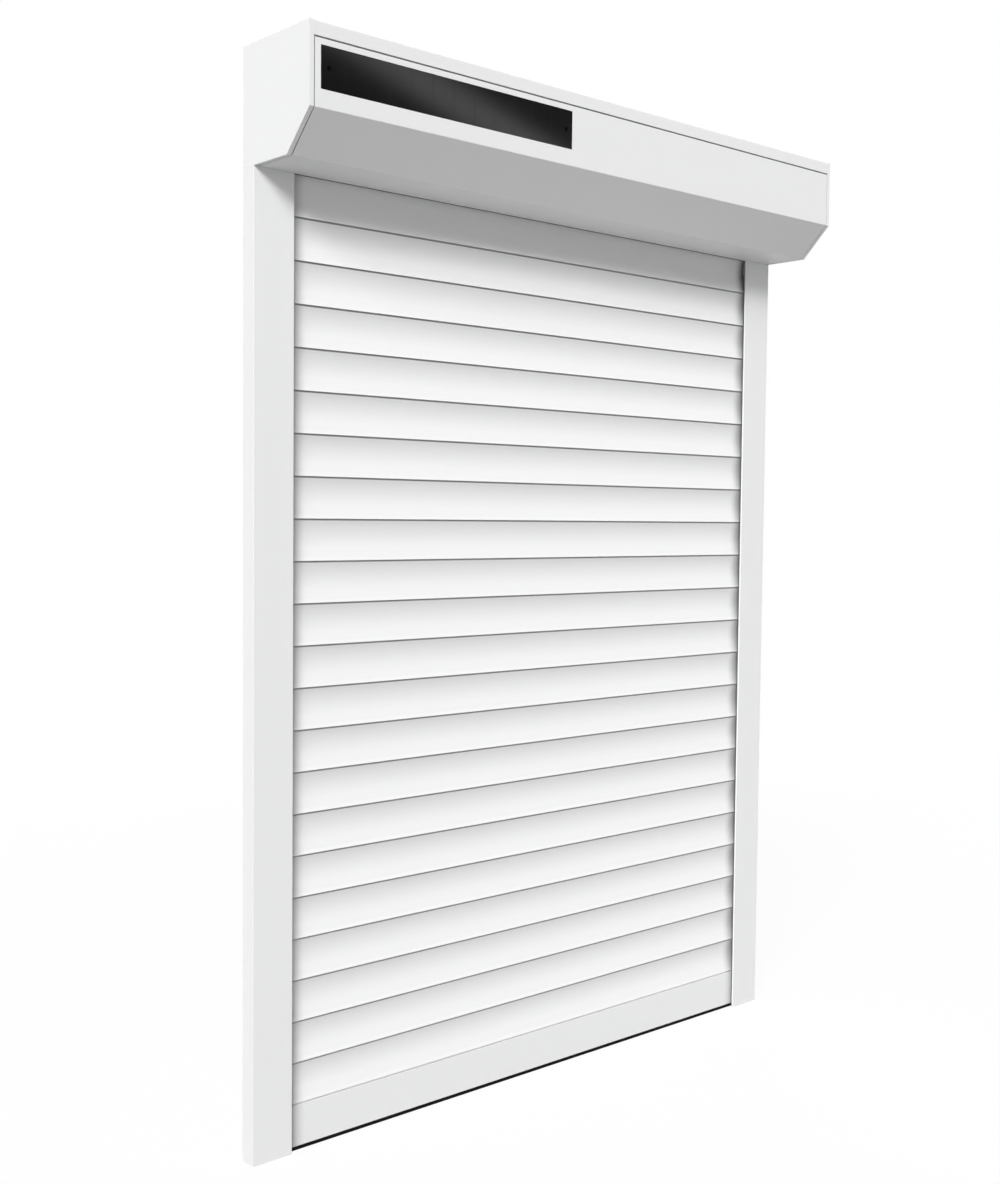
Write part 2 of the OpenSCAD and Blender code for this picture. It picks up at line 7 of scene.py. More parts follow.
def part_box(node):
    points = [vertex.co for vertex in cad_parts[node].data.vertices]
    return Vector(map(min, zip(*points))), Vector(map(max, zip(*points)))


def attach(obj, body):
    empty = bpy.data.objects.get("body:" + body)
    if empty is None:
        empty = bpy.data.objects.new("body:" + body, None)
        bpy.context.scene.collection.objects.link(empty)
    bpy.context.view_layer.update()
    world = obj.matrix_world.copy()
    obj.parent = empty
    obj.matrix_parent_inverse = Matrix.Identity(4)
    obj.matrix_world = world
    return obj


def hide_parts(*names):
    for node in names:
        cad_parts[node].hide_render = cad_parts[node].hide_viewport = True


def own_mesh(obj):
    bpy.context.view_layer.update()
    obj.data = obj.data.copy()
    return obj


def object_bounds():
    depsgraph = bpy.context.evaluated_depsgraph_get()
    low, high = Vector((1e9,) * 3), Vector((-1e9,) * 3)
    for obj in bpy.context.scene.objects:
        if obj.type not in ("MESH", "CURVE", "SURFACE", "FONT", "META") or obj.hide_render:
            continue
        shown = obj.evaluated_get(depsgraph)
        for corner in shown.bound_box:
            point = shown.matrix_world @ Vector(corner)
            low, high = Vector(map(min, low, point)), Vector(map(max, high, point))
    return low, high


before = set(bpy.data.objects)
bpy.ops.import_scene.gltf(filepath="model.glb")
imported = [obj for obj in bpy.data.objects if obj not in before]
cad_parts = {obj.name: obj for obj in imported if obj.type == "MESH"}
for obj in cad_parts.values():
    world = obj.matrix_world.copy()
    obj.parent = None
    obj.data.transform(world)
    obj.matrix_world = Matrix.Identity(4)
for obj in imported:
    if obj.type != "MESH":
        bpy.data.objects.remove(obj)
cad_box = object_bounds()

# Camera: a normal lens a little above half height, standing to the left of the shutter
# and looking slightly down, as the photograph was taken.
lens = bpy.data.cameras.new("camera")
lens.lens = 44.28
lens.sensor_width = 36
camera = bpy.data.objects.new("camera", lens)
camera.location = (-1.31705, -1.41752, 0.17875)
camera.rotation_euler = [math.radians(turn) for turn in (87.06664, -0.56326, -41.44839)]
bpy.context.scene.collection.objects.link(camera)
bpy.context.scene.camera = camera
bpy.context.scene.view_settings.view_transform = "Standard"


# Studio floor: a smooth pale sheet that the shutter stands on. It looks white to the camera and in
# reflections, keeps a soft shadow, and throws only part of the light back up. From below it is clear.
class Port:
    """A socket of a node tree. Sums on it add Math nodes, and node() adds any other node."""

    def __init__(self, tree, socket=None):
        self.tree = tree
        self.socket = socket

    def node(self, kind, settings, sockets, out=0):
        made = self.tree.nodes.new(kind)
        for name, value in settings.items():
            setattr(made, name, value)
        for key, value in sockets.items():
            for one in value if isinstance(value, list) else [value]:
                if isinstance(one, Port):
                    self.tree.links.new(one.socket, made.inputs[key])
                else:
                    made.inputs[key].default_value = one
        return Port(self.tree, made.outputs[out] if made.outputs else None)

    def into(self, node, key):
        self.tree.links.new(self.socket, node.inputs[key])

    def sum(self, operation, first, second):
        return self.node("ShaderNodeMath", {"operation": operation}, {0: first, 1: second})

    def __add__(self, other):
        return self.sum("ADD", self, other)

    def __radd__(self, other):
        return self.sum("ADD", other, self)

    def __sub__(self, other):
        return self.sum("SUBTRACT", self, other)

    def __rsub__(self, other):
        return self.sum("SUBTRACT", other, self)

    def __mul__(self, other):
        return self.sum("MULTIPLY", self, other)

    def __rmul__(self, other):
        return self.sum("MULTIPLY", other, self)


def empty_tree(owner):
    """The root of a new material's or world's node tree, with nothing in it."""
    owner.use_nodes = True
    owner.node_tree.nodes.clear()
    return Port(owner.node_tree)


def seen_directly(root):
    """1 for the camera's own rays, reflections and rays through glass, 0 for light on its way."""
    path = root.node("ShaderNodeLightPath", {}, {}, "Is Camera Ray")
    rays = path.socket.node.outputs
    glossy = Port(root.tree, rays["Is Glossy Ray"])
    through = Port(root.tree, rays["Is Transmission Ray"])
    return root.sum("MINIMUM", path + glossy + through, 1.0)


sill = cad_box[0][2]
reach = 9.0
corners = [(-reach, -reach, sill), (reach, -reach, sill), (reach, reach, sill), (-reach, reach, sill)]
floor_mesh = bpy.data.meshes.new("floor")
floor_mesh.from_pydata(corners, [], [(0, 1, 2, 3)])
floor = bpy.data.objects.new("floor", floor_mesh)
floor_paint = bpy.data.materials.new("pale_floor")
root = empty_tree(floor_paint)
seen = seen_directly(root)
thrown_back = (0.36, 0.36, 0.36, 1)
looks = (0.95, 0.95, 0.95, 1)
near, far = 0.8, 3.2
tone = root.node("ShaderNodeMix", {"data_type": "RGBA"}, {0: seen, 6: thrown_back, 7: looks}, 2)
matt = root.node("ShaderNodeBsdfDiffuse", {}, {"Color": tone})
glow = root.node("ShaderNodeEmission", {}, {"Color": (1, 1, 1, 1), "Strength": 1.0})
place = root.node("ShaderNodeTexCoord", {}, {}, "Object")
away = root.node("ShaderNodeVectorMath", {"operation": "LENGTH"}, {0: place}, "Value")
whiter = root.node("ShaderNodeMapRange", {"interpolation_type": "SMOOTHERSTEP"}, {
    "Value": away, "From Min": near, "From Max": far, "To Min": 0.9, "To Max": 1.0,
})
above = root.node("ShaderNodeMixShader", {}, {0: seen * whiter, 1: matt, 2: glow})
clear = root.node("ShaderNodeBsdfTransparent", {}, {})
from_below = root.node("ShaderNodeNewGeometry", {}, {}, "Backfacing")
both = root.node("ShaderNodeMixShader", {}, {0: from_below, 1: above, 2: clear})
root.node("ShaderNodeOutputMaterial", {}, {"Surface": both})
floor_mesh.materials.append(floor_paint)
bpy.context.scene.collection.objects.link(floor)

# Studio light: an even pale room that the camera and reflections see as plain white, and three soft lamps
# side by side far off to the upper left front, which give the box its soft shadow over the curtain. A weak
# fourth lamp lights the back and the right side.
room = bpy.data.worlds.new("room")
bpy.context.scene.world = room
root = empty_tree(room)
heading = root.node("ShaderNodeTexCoord", {}, {}, "Generated")
up = root.node("ShaderNodeSeparateXYZ", {}, {"Vector": heading}, "Z")
level, fall = 0.535, 0.24
light = root.node("ShaderNodeBackground", {}, {"Color": (1, 1, 1, 1), "Strength": level - fall * up})
white = root.node("ShaderNodeBackground", {}, {"Color": (1, 1, 1, 1), "Strength": 1.0})
both = root.node("ShaderNodeMixShader", {}, {0: seen_directly(root), 1: light, 2: white})
root.node("ShaderNodeOutputWorld", {}, {"Surface": both})


def lamp(name, energy, spread, shine):
    """A far soft lamp that shines along the given direction."""
    light = bpy.data.lights.new(name, "SUN")
    light.energy = energy
    light.angle = math.radians(spread)
    stand = bpy.data.objects.new(name, light)
    stand.rotation_euler = shine.to_track_quat("-Z", "Y").to_euler()
    bpy.context.scene.collection.objects.link(stand)


key_shine = Vector((1.2, 1.0, -0.86))
for name, turn in (("key_left", -13), ("key_middle", 0), ("key_right", 13)):
    lamp(name, energy=1.045, spread=17, shine=Matrix.Rotation(math.radians(turn), 3, "Z") @ key_shine)
lamp("back_light", energy=0.9, spread=30, shine=Vector((-0.8, -1.0, -0.5)))


# Reflector card: a soft slanting strip of light to the right of the camera, which only reflections see.
# It gives the glass of the solar panel its diagonal sheen.
def coordinate(root, axis):
    """X, Y or Z of each point in the object's own space."""
    place = root.node("ShaderNodeTexCoord", {}, {}, "Object")
    return root.node("ShaderNodeSeparateXYZ", {}, {"Vector": place}, axis)


card_at = -3
card_left, card_right = 0.8, 3.4
card_low, card_high = 1.1, 2.3
strip_x, strip_z = 2.11, 1.693
strip_slope, strip_half, strip_glow = 3.5, 0.47, 9.0
corners = [(x, card_at, card_low) for x in (card_left, card_right)]
corners += [(x, card_at, card_high) for x in (card_right, card_left)]
card_mesh = bpy.data.meshes.new("reflector_card")
card_mesh.from_pydata(corners, [], [(3, 2, 1, 0)])
card = bpy.data.objects.new("reflector_card", card_mesh)
card_light = bpy.data.materials.new("reflector_card")
root = empty_tree(card_light)
off = (coordinate(root, "X") - strip_x) + strip_slope * (coordinate(root, "Z") - strip_z)
strip = root.node("ShaderNodeMapRange", {"interpolation_type": "SMOOTHERSTEP"}, {
    "Value": root.sum("ABSOLUTE", off, 0.0), "From Min": 0.0, "From Max": strip_half,
    "To Min": strip_glow, "To Max": 0.0,
})
glow = root.node("ShaderNodeEmission", {}, {"Color": (1, 1, 1, 1), "Strength": strip})
clear = root.node("ShaderNodeBsdfTransparent", {}, {})
both = root.node("ShaderNodeAddShader", {}, {0: glow, 1: clear})
root.node("ShaderNodeOutputMaterial", {}, {"Surface": both})
card_mesh.materials.append(card_light)
card.visible_camera = False
card.visible_diffuse = False
card.visible_shadow = False
bpy.context.scene.collection.objects.link(card)

# Guide bases: extruded aluminium profiles, left bare, screwed to the wall through their backs. The
# web and the folded front wall make the channel that the slats run in.
mm = 0.001


def surface(name, fixed):
    """A new material, the root of its tree, and its shader with the given fixed values."""
    material = bpy.data.materials.new(name)
    material.use_nodes = True
    shader = material.node_tree.nodes["Principled BSDF"]
    for key, value in fixed.items():
        shader.inputs[key].default_value = value
    return material, Port(material.node_tree), shader


def grain(root, scale, detail, stretch=(1, 1, 1)):
    """Noise on the object's own coordinates, stretched where a tool left lines."""
    place = root.node("ShaderNodeTexCoord", {}, {}, "Object")
    laid = root.node("ShaderNodeMapping", {}, {"Vector": place, "Scale": stretch})
    return root.node("ShaderNodeTexNoise", {}, {"Vector": laid, "Scale": scale, "Detail": detail})


def between(root, mask, low, high):
    """A colour between two, by a mask."""
    return root.node("ShaderNodeMix", {"data_type": "RGBA"}, {0: mask, 6: (*low, 1), 7: (*high, 1)}, 2)


def relief(root, height, depth):
    """The shading of a fine relief, as deep as given where the height is 1."""
    return root.node("ShaderNodeBump", {}, {"Strength": 1.0, "Distance": depth, "Height": height})


def drawn_metal(name, dark, pale, roughness, stretch, lines):
    """Bare metal with the fine lines of the die, roll or lathe that it came through."""
    material, root, shader = surface(name, {"Metallic": 1.0})
    streaks = grain(root, lines, 4.0, stretch)
    clouds = grain(root, 14.0, 3.0)
    between(root, clouds * 0.6 + streaks * 0.4, dark, pale).into(shader, "Base Color")
    (roughness + 0.14 * (streaks - 0.5) + 0.12 * (clouds - 0.5)).into(shader, "Roughness")
    relief(root, streaks, 0.04 * mm).into(shader, "Normal")
    return material


def dress(material, *nodes):
    """Gives a material to solids that are shown as they come."""
    for node in nodes:
        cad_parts[node].material_slots[0].material = material


upright_lines = (1, 1, 0.01)
bare_profile = drawn_metal(
    "bare_profile", (0.58, 0.59, 0.60), (0.72, 0.73, 0.74), 0.38, upright_lines, 700.0
)
dress(bare_profile, "left_guide_base", "right_guide_base")


# Guide covers: white powder-coated aluminium profiles that clip over the bases and hide the screws.
# Their front corners are rounded by the die, and a short return closes the channel beside the slats.
def rounded(corners, radii, steps=5):
    """The closed outline through the corners, each rounded to its own radius."""
    outline = []
    for i, (corner, radius) in enumerate(zip(corners, radii)):
        here = Vector(corner)
        back = (Vector(corners[i - 1]) - here).normalized()
        ahead = (Vector(corners[(i + 1) % len(corners)]) - here).normalized()
        if radius == 0:
            outline.append(here)
            continue
        half = back.angle(ahead) / 2
        centre = here + (back + ahead).normalized() * (radius / math.sin(half))
        start = here + back * (radius / math.tan(half)) - centre
        turn = math.copysign(math.pi - 2 * half, ahead.x * back.y - ahead.y * back.x)
        for k in range(steps + 1):
            outline.append(centre + Matrix.Rotation(turn * k / steps, 2) @ start)
    return outline


def settle(bm, name, material, angle=35):
    """A bmesh as a finished mesh: faces outwards, flat ones flat, and the bends between them smooth."""
    bmesh.ops.recalc_face_normals(bm, faces=bm.faces)
    mesh = bpy.data.meshes.new(name)
    bm.to_mesh(mesh)
    bm.free()
    mesh.shade_smooth()
    mesh.set_sharp_from_angle(angle=math.radians(angle))
    mesh.materials.clear()
    mesh.materials.append(material)
    holder = bpy.data.objects.new("holder", mesh)
    bpy.context.scene.collection.objects.link(holder)
    even = holder.modifiers.new("even", "WEIGHTED_NORMAL")
    even.keep_sharp = True
    even.weight = 90
    bpy.context.view_layer.update()
    done = bpy.data.meshes.new_from_object(holder.evaluated_get(bpy.context.evaluated_depsgraph_get()))
    bpy.data.objects.remove(holder)
    bpy.data.meshes.remove(mesh)
    done.name = name
    return done


def drawn_out(bm, outline, axis, start, end, bore=None):
    """Adds a bar: a closed outline drawn out along an axis, with an inner outline where it is a tube."""
    count = len(outline)
    rings = []
    for at in (start, end):
        for loop in [outline, bore] if bore else [outline]:
            spots = [{"X": (at, a, b), "Y": (a, at, b), "Z": (a, b, at)}[axis] for a, b in loop]
            rings.append([bm.verts.new(spot) for spot in spots])
    walls = [(rings[0], rings[1])]
    if bore:
        walls = [(rings[0], rings[2]), (rings[1], rings[3]), (rings[0], rings[1]), (rings[2], rings[3])]
    for one, other in walls:
        for i in range(count):
            j = (i + 1) % count
            bm.faces.new((one[i], one[j], other[j], other[i]))
    if not bore:
        bm.faces.new(rings[0])
        bm.faces.new(rings[1])


def add_piece(mesh, body, slot, *nodes):
    """A finished mesh as a piece of the shutter that stands for its CAD solids."""
    made = bpy.data.objects.new(mesh.name, mesh)
    bpy.context.scene.collection.objects.link(made)
    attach(made, body)
    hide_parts(*nodes)
    return made


def powder_coat(name, dark, pale, peel, stretch=(1, 1, 1), lines=0.0, undercoat_and_shade=None, grey=0.28):
    """White powder coat: a very even tone, a fine orange peel, and faint lines of the metal under it.

    Where the mask is given, it marks the places painted that grey: the under coat inside the box, and
    painted shade in the joints and beside the guides.
    """
    material, root, shader = surface(name, {"Specular IOR Level": 0.22})
    clouds = grain(root, 6.0, 3.0)
    skin = grain(root, peel, 2.0)
    under = grain(root, 260.0, 3.0, stretch)
    tone = between(root, clouds * 0.5 + under * 0.5, dark, pale)
    if undercoat_and_shade:
        grey_coat_and_shade = between(root, clouds * 0.5 + skin * 0.5, (grey,) * 3, (grey + 0.06,) * 3)
        tone = root.node("ShaderNodeMix", {"data_type": "RGBA"}, {0: undercoat_and_shade(root), 6: tone, 7: grey_coat_and_shade}, 2)
    tone.into(shader, "Base Color")
    (0.36 + 0.12 * skin + 0.08 * clouds).into(shader, "Roughness")
    relief(root, skin + under * lines, 0.035 * mm).into(shader, "Normal")
    return material


coat_dark = (0.825, 0.828, 0.83)
coat_pale = (0.845, 0.847, 0.848)
white_profile = powder_coat("white_profile", coat_dark, coat_pale, 520.0, upright_lines, 1.2)
guide_low, guide_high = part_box("right_guide_cover")
guide_in, guide_out = guide_low[0], guide_high[0]
guide_front = guide_low[1]
box_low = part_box("rear_top_cover")[0][2]
guide_top = box_low - 0.1 * mm
wall = 1.6 * mm
front_in = guide_front + wall
return_in = guide_front + 2 * mm
leg, leg_wall, leg_end = 426.1 * mm, 1.4 * mm, -9.2 * mm
corners = [
    (guide_out, 0), (guide_out, guide_front), (guide_in, guide_front), (guide_in, return_in),
    (guide_in + wall, return_in), (guide_in + wall, front_in), (leg, front_in), (leg, leg_end),
    (leg + leg_wall, leg_end), (leg + leg_wall, front_in),
    (guide_out - wall, front_in), (guide_out - wall, 0),
]
radii = [radius * mm for radius in (0.3, 0.45, 0.8, 0.3, 0.15, 0, 0, 0.5, 0.5, 0, 0.5, 0.3)]
for side, sign in (("left", -1), ("right", 1)):
    bm = bmesh.new()
    drawn_out(bm, [(sign * a, b) for a, b in rounded(corners, radii)], "Z", sill, guide_top)
    name = side + "_guide_cover"
    add_piece(settle(bm, name + "_profile", white_profile), "frame", "white_profile", name)


# Guide seals and inlets: grey rubber lips pressed into the channel, which keep the slats from
# rattling, and moulded plastic funnels at the top that lead the curtain in.
def moulded(name, dark, pale, roughness, scale, depth, specular=0.5):
    """Moulded plastic or rubber with the fine grain of its mould."""
    material, root, shader = surface(name, {"Specular IOR Level": specular})
    skin = grain(root, scale, 3.0)
    clouds = grain(root, 22.0, 2.0)
    between(root, skin * 0.5 + clouds * 0.5, dark, pale).into(shader, "Base Color")
    (roughness + 0.16 * (skin - 0.5) + 0.12 * (clouds - 0.5)).into(shader, "Roughness")
    relief(root, skin, depth).into(shader, "Normal")
    return material


def add_eased(node, material, width, body, slot):
    """Adds a node's solid with its edges eased, as casting, moulding or deburring leaves them."""
    crease = 30
    bm = bmesh.new()
    bm.from_mesh(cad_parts[node].data)
    bmesh.ops.remove_doubles(bm, verts=bm.verts, dist=0.002 * mm)
    bmesh.ops.dissolve_limit(bm, angle_limit=math.radians(0.6), verts=bm.verts, edges=bm.edges)
    inner = [edge for edge in bm.edges if len(edge.link_faces) == 2]
    sharp = [edge for edge in inner if edge.calc_face_angle(0) > math.radians(crease)]
    bmesh.ops.bevel(
        bm, geom=sharp, offset=width, offset_type="OFFSET", segments=2, profile=0.5, affect="EDGES",
        clamp_overlap=True,
    )
    return add_piece(settle(bm, node + "_eased", material, crease), body, slot, node)


grey_rubber = moulded("grey_rubber", (0.10, 0.10, 0.10), (0.15, 0.15, 0.15), 0.72, 900.0, 0.05 * mm)
dress(grey_rubber, "guide_seals")
grey_plastic = moulded("grey_plastic", (0.20, 0.205, 0.21), (0.25, 0.255, 0.26), 0.46, 1100.0, 0.03 * mm)
add_eased("guide_inlets", grey_plastic, 0.3 * mm, "frame", "grey_plastic")

# End caps: cast aluminium plates, powder-coated white, that close the box. A rim inside carries the
# sheets, and a tenon below stands in the guide.
box_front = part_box("rear_top_cover")[0][1]
box_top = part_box("rear_top_cover")[1][2]
cut = 43 * mm
inner_x = 444.5 * mm


def inside_box(root):
    """1 on faces that lie behind the sheets, painted grey: their under coat, which also stands as painted
    shade in the seams.
    """
    x, y, z = (coordinate(root, axis) for axis in "XYZ")
    slant = (y - box_front - cut + z - box_low) * math.sqrt(0.5)
    across = root.sum("MINIMUM", y - box_front, 0.0 - y)
    upright = root.sum("MINIMUM", box_top - z, z - box_low)
    depth = root.sum("MINIMUM", slant, root.sum("MINIMUM", across, upright))
    between_caps = root.sum("LESS_THAN", root.sum("ABSOLUTE", x, 0.0), inner_x + 0.2 * mm)
    return between_caps * root.sum("GREATER_THAN", depth, 0.8 * mm)


# The caps are grey behind the sheets: under coat, and painted shade in the seams.
white_cast = powder_coat("white_cast", coat_dark, coat_pale, 420.0, undercoat_and_shade=inside_box)
for name in ("left_end_cap", "right_end_cap"):
    add_eased(name, white_cast, 0.12 * mm, "frame", "white_cast")


# Rear and top cover: one bent sheet of white powder-coated aluminium over the back and top, with a lip
# down the front that is doubled inwards to hold the front cover's upper edge.
def bent_sheet(path, thick, bend, edge):
    """The closed outline of a bent sheet, from its outer face as a path with the metal on its right."""
    spots = [Vector(p) for p in path]
    runs = [(b - a).normalized() for a, b in zip(spots, spots[1:])]
    sides = [Vector((run.y, -run.x)) * thick for run in runs]
    inner = [spots[0] + sides[0]]
    for i in range(1, len(runs)):
        lean = (sides[i - 1] + sides[i]).normalized()
        inner.append(spots[i] + lean * (thick / lean.dot(sides[i].normalized())))
    inner.append(spots[-1] + sides[-1])
    inside = [edge] + [max(bend - thick, 0.3 * mm)] * (len(spots) - 2) + [edge]
    outside = [edge] + [bend] * (len(spots) - 2) + [edge]
    return rounded(spots + inner[::-1], outside + inside[::-1])


def cut_from(mesh, tools):
    """The mesh with the tools' shape taken out of it."""
    holders = [bpy.data.objects.new("cut", part) for part in (mesh, tools)]
    for holder in holders:
        bpy.context.scene.collection.objects.link(holder)
    taken = holders[0].modifiers.new("cut", "BOOLEAN")
    taken.operation = "DIFFERENCE"
    taken.solver = "EXACT"
    taken.object = holders[1]
    bpy.context.view_layer.update()
    ready = holders[0].evaluated_get(bpy.context.evaluated_depsgraph_get())
    bm = bmesh.new()
    bm.from_mesh(ready.to_mesh())
    ready.to_mesh_clear()
    name, material = mesh.name, mesh.materials[0]
    for holder, part in zip(holders, (mesh, tools)):
        bpy.data.objects.remove(holder)
        bpy.data.meshes.remove(part)
    return settle(bm, name, material)


# The sheet is grey behind its faces: under coat, and painted shade in the seam under the lip.
white_sheet = powder_coat("white_sheet", coat_dark, coat_pale, 480.0, undercoat_and_shade=inside_box)
sheet, sheet_bend, sheet_edge = 1.2 * mm, 1.6 * mm, 0.45 * mm
rear_cover_x = inner_x - 0.1 * mm
lip_low = box_top - 15.5 * mm
fold_x = 438.15 * mm
fold_low = lip_low - 5 * mm
fold_front = box_front + 1.55 * mm
bm = bmesh.new()
path = [(box_front, lip_low), (box_front, box_top), (0, box_top), (0, box_low)]
drawn_out(bm, bent_sheet(path, sheet, sheet_bend, sheet_edge), "X", -rear_cover_x, rear_cover_x)
fold = [
    (fold_front, fold_low), (fold_front, lip_low),
    (box_front + sheet, lip_low), (box_front + sheet, box_top - sheet),
    (fold_front + sheet, box_top - sheet), (fold_front + sheet, fold_low),
]
drawn_out(bm, fold, "X", -fold_x, fold_x)
cover = settle(bm, "rear_top_cover_sheet", white_sheet)
tube_at = Vector((0, box_front / 2, (box_top + box_low) / 2))
casing_screw_x = 441.5 * mm
screw_hole = 3.1 * mm
casing_spots = []
for x in (-casing_screw_x, casing_screw_x):
    casing_spots += [((x, y, box_top), (0, 0, 1)) for y in (-39 * mm, -100.1 * mm)]
    casing_spots.append(((x, 0, tube_at.z), (0, 1, 0)))
bm = bmesh.new()
for spot, aim in casing_spots:
    turn = Vector(aim).to_track_quat("Z", "Y").to_matrix().to_4x4()
    bmesh.ops.create_cone(
        bm, cap_ends=True, segments=32, radius1=screw_hole, radius2=screw_hole, depth=4 * mm,
        matrix=Matrix.Translation(spot) @ turn,
    )
cover = cut_from(cover, settle(bm, "screw_holes", white_sheet))
add_piece(cover, "frame", "white_sheet", "rear_top_cover")


# Casing screws: zinc-plated countersunk screws with a cross recess, flush in the sheet, two on top and
# one in the back at each end.
def new_tree(name, inputs):
    """A geometry tree with named inputs: its root, and a port for each input."""
    tree = bpy.data.node_groups.new(name, "GeometryNodeTree")
    tree.interface.new_socket("Geometry", in_out="INPUT", socket_type="NodeSocketGeometry")
    for label, kind in inputs.items():
        tree.interface.new_socket(label, in_out="INPUT", socket_type="NodeSocket" + kind)
    tree.interface.new_socket("Geometry", in_out="OUTPUT", socket_type="NodeSocketGeometry")
    given = tree.nodes.new("NodeGroupInput")
    return Port(tree), {socket.name: Port(tree, socket) for socket in given.outputs if socket.name}


def close_tree(root, shape, material):
    """Ends a tree with its shape made real and given its material."""
    real = root.node("GeometryNodeRealizeInstances", {}, {0: shape})
    done = root.node("GeometryNodeSetMaterial", {}, {0: real, "Material": material})
    root.node("NodeGroupOutput", {}, {0: done})


def grown(root, name, values, spots=(), aims=()):
    """The plain mesh that a tree makes from its inputs, on points that each carry an aim."""
    base = bpy.data.meshes.new(name + "_spots")
    base.from_pydata(list(spots), [], [])
    if aims:
        aim = base.attributes.new("aim", "FLOAT_VECTOR", "POINT")
        aim.data.foreach_set("vector", [part for way in aims for part in way])
    holder = bpy.data.objects.new(name + "_maker", base)
    bpy.context.scene.collection.objects.link(holder)
    maker = holder.modifiers.new("maker", "NODES")
    maker.node_group = root.tree
    for socket in root.tree.interface.items_tree:
        if socket.in_out == "INPUT" and socket.name in values:
            maker[socket.identifier] = values[socket.name]
    bpy.context.view_layer.update()
    depsgraph = bpy.context.evaluated_depsgraph_get()
    mesh = bpy.data.meshes.new_from_object(holder.evaluated_get(depsgraph))
    holder.modifiers.remove(maker)
    bpy.data.objects.remove(holder)
    bm = bmesh.new()
    bm.from_mesh(mesh)
    bmesh.ops.remove_doubles(bm, verts=bm.verts, dist=0.001 * mm)
    return settle(bm, name, values["Material"])


screw_maker, given = new_tree("screw_maker", {
    "Head radius": "Float", "Top radius": "Float", "Head height": "Float", "Proud": "Float",
    "Shank radius": "Float", "Shank length": "Float", "Material": "Material",
})
head = screw_maker.node("GeometryNodeMeshCone", {}, {
    "Vertices": 32, "Radius Bottom": given["Head radius"], "Radius Top": given["Top radius"],
    "Depth": given["Head height"],
})
seat = given["Proud"] - given["Head height"]
head_at = screw_maker.node("ShaderNodeCombineXYZ", {}, {"Z": seat})
head = screw_maker.node("GeometryNodeTransform", {}, {0: head, "Translation": head_at})
recess_at = screw_maker.node("ShaderNodeCombineXYZ", {}, {"Z": given["Proud"]})
arms = []
for turn, deep in ((20, 1.1), (110, 1.03)):
    long = given["Top radius"] * 1.15
    size = screw_maker.node("ShaderNodeCombineXYZ", {}, {
        "X": long, "Y": long * 0.24, "Z": given["Head height"] * deep,
    })
    arm = screw_maker.node("GeometryNodeMeshCube", {}, {"Size": size})
    arms.append(screw_maker.node("GeometryNodeTransform", {}, {
        0: arm, "Translation": recess_at, "Rotation": (0, 0, math.radians(turn)),
    }))
head = screw_maker.node("GeometryNodeMeshBoolean", {"operation": "DIFFERENCE"}, {
    "Mesh 1": head, "Mesh 2": arms,
})
shank = screw_maker.node("GeometryNodeMeshCone", {}, {
    "Vertices": 20, "Radius Bottom": given["Shank radius"] * 0.7, "Radius Top": given["Shank radius"],
    "Depth": given["Shank length"],
})
shank_at = screw_maker.node("ShaderNodeCombineXYZ", {}, {"Z": seat - given["Shank length"]})
shank = screw_maker.node("GeometryNodeTransform", {}, {0: shank, "Translation": shank_at})
screw = screw_maker.node("GeometryNodeJoinGeometry", {}, {0: [head, shank]})
aim = screw_maker.node("GeometryNodeInputNamedAttribute", {"data_type": "FLOAT_VECTOR"}, {"Name": "aim"})
turned = screw_maker.node("FunctionNodeAlignRotationToVector", {"axis": "Z"}, {"Vector": aim})
points = screw_maker.node("GeometryNodeMeshToPoints", {}, {0: given["Geometry"]})
screws = screw_maker.node("GeometryNodeInstanceOnPoints", {}, {
    "Points": points, "Instance": screw, "Rotation": turned,
})
close_tree(screw_maker, screws, given["Material"])
zinc_screw = drawn_metal("zinc_screw", (0.52, 0.53, 0.55), (0.68, 0.69, 0.71), 0.30, (1, 1, 1), 900.0)
spots, aims = zip(*casing_spots)
add_piece(grown(screw_maker, "casing_screw_set", {
    "Head radius": 1.7 * mm, "Top radius": 3 * mm, "Head height": 1.1 * mm, "Proud": 0.0,
    "Shank radius": 1.5 * mm, "Shank length": 5.8 * mm, "Material": zinc_screw,
}, spots, aims), "frame", "zinc_steel", "casing_screws")


# Brackets: zinc-plated steel plates on the end caps, with a pressed square seat for the motor head on the
# left and a pressed cup for the bearing on the right.
def zinc_plate(name, dark, pale, roughness):
    """Galvanised steel with the soft flakes of its zinc."""
    material, root, shader = surface(name, {"Metallic": 1.0})
    place = root.node("ShaderNodeTexCoord", {}, {}, "Object")
    flake = root.node("ShaderNodeTexVoronoi", {}, {"Vector": place, "Scale": 140.0}, "Color")
    shade = root.node("ShaderNodeSeparateXYZ", {}, {"Vector": flake}, "X")
    clouds = grain(root, 40.0, 4.0)
    between(root, shade * 0.5 + clouds * 0.5, dark, pale).into(shader, "Base Color")
    (roughness + 0.16 * (shade - 0.5) + 0.16 * (clouds - 0.5)).into(shader, "Roughness")
    relief(root, clouds, 0.05 * mm).into(shader, "Normal")
    return material


zinc_steel = zinc_plate("zinc_steel", (0.50, 0.51, 0.52), (0.66, 0.67, 0.68), 0.38)
for name in ("motor_bracket", "bearing_bracket"):
    add_eased(name, zinc_steel, 0.4 * mm, "frame", "zinc_steel")

